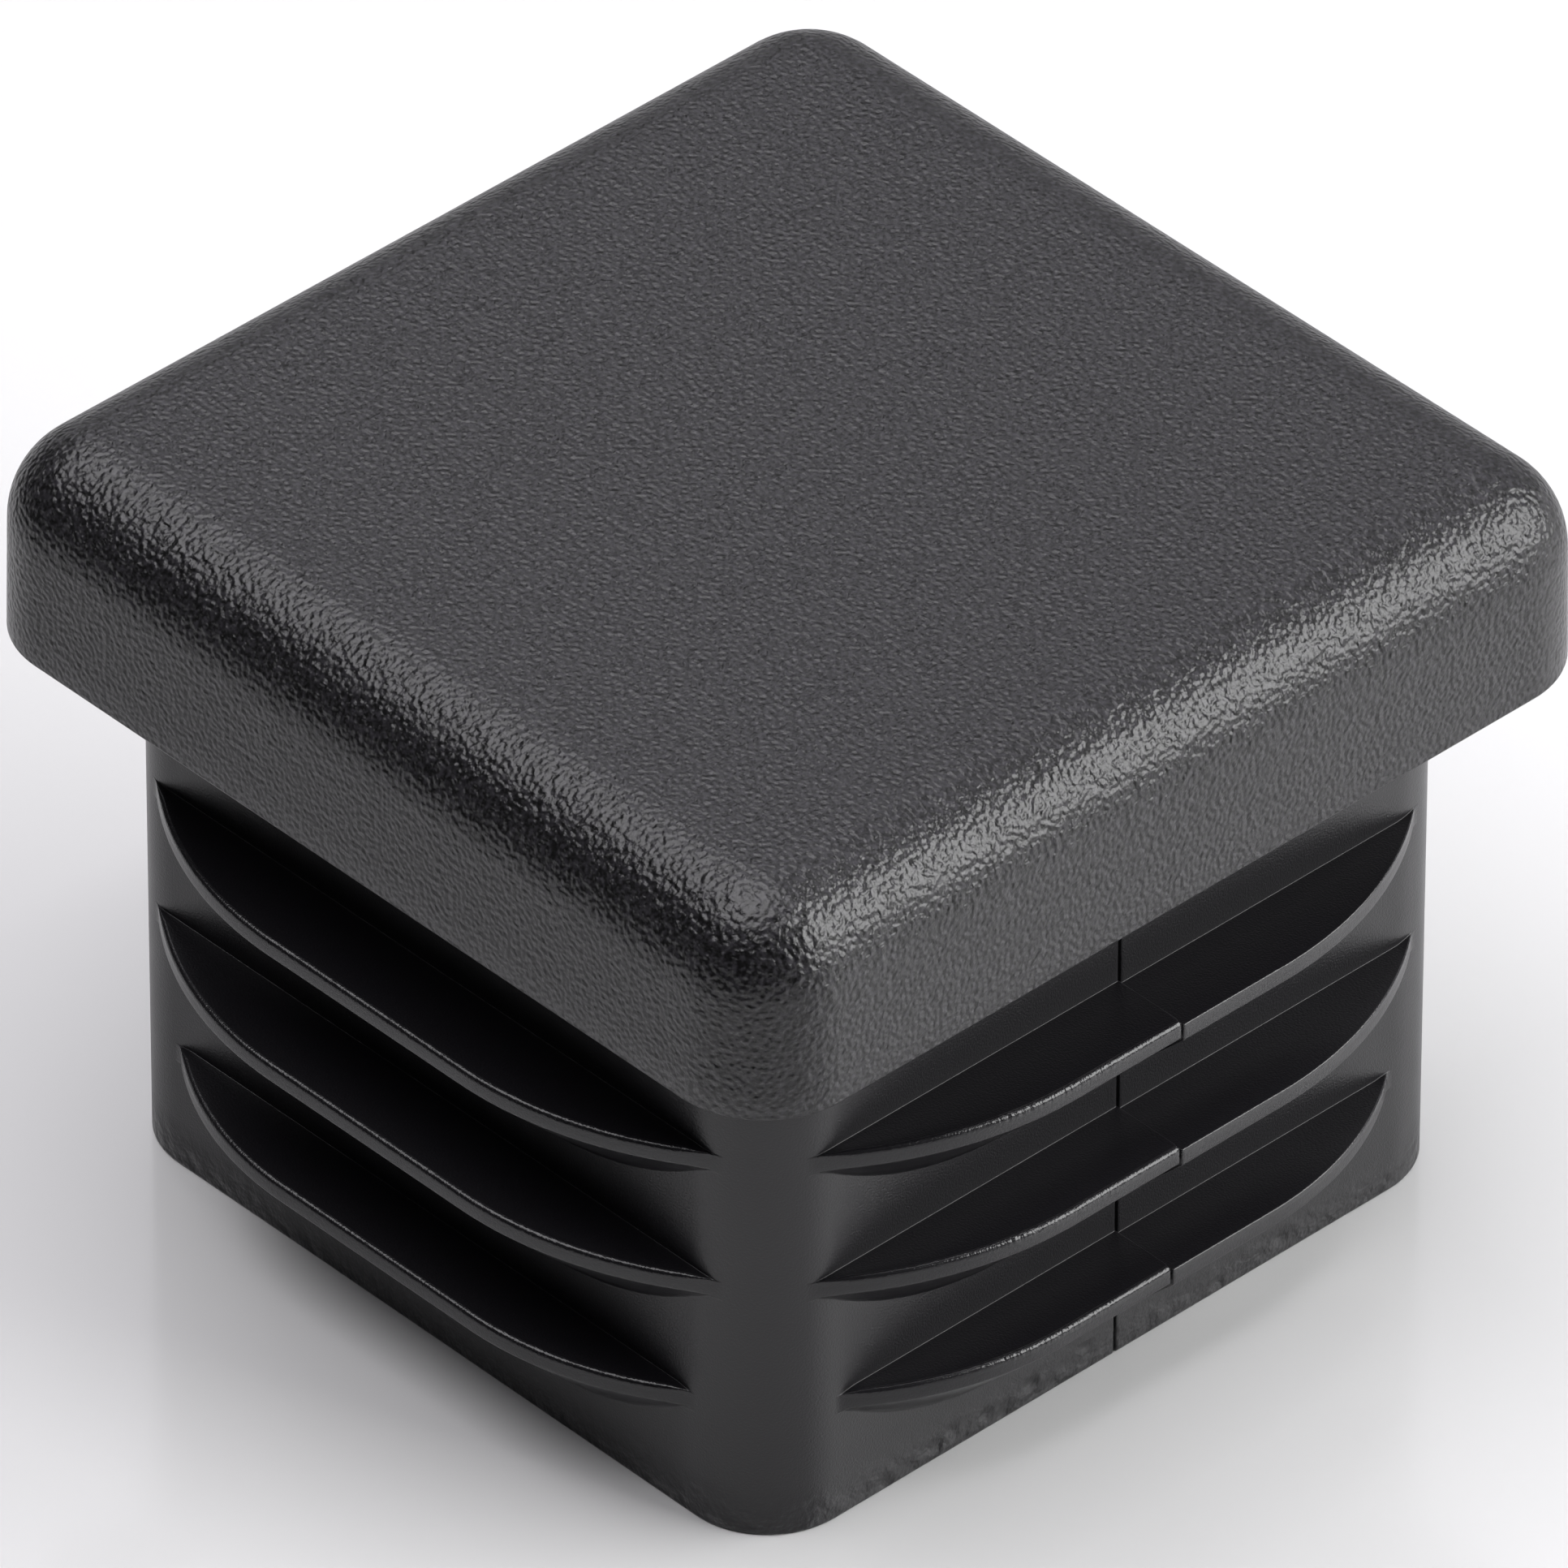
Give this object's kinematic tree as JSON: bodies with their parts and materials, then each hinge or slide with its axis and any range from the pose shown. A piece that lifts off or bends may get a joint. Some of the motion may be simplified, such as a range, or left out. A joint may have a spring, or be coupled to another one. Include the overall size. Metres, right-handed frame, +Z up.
{
  "type": "tube end cap",
  "caption": "Black moulded plug that closes the end of a square tube: a square head with rounded edges on a hollow shank with arched grip fins.",
  "frame": {"origin": "centre of the shank's open rim, where the cap stands", "axes": "+Z up through the head, along the tube's axis; +X and +Y square to the sides"},
  "size_m": [0.025, 0.025, 0.0186],
  "materials": {
    "black_plastic": "fine spark-eroded grain on the head, smoother on the shank and fins"
  },
  "bodies": {
    "root": {"end_cap": "black_plastic"}
  },
  "joints": []
}
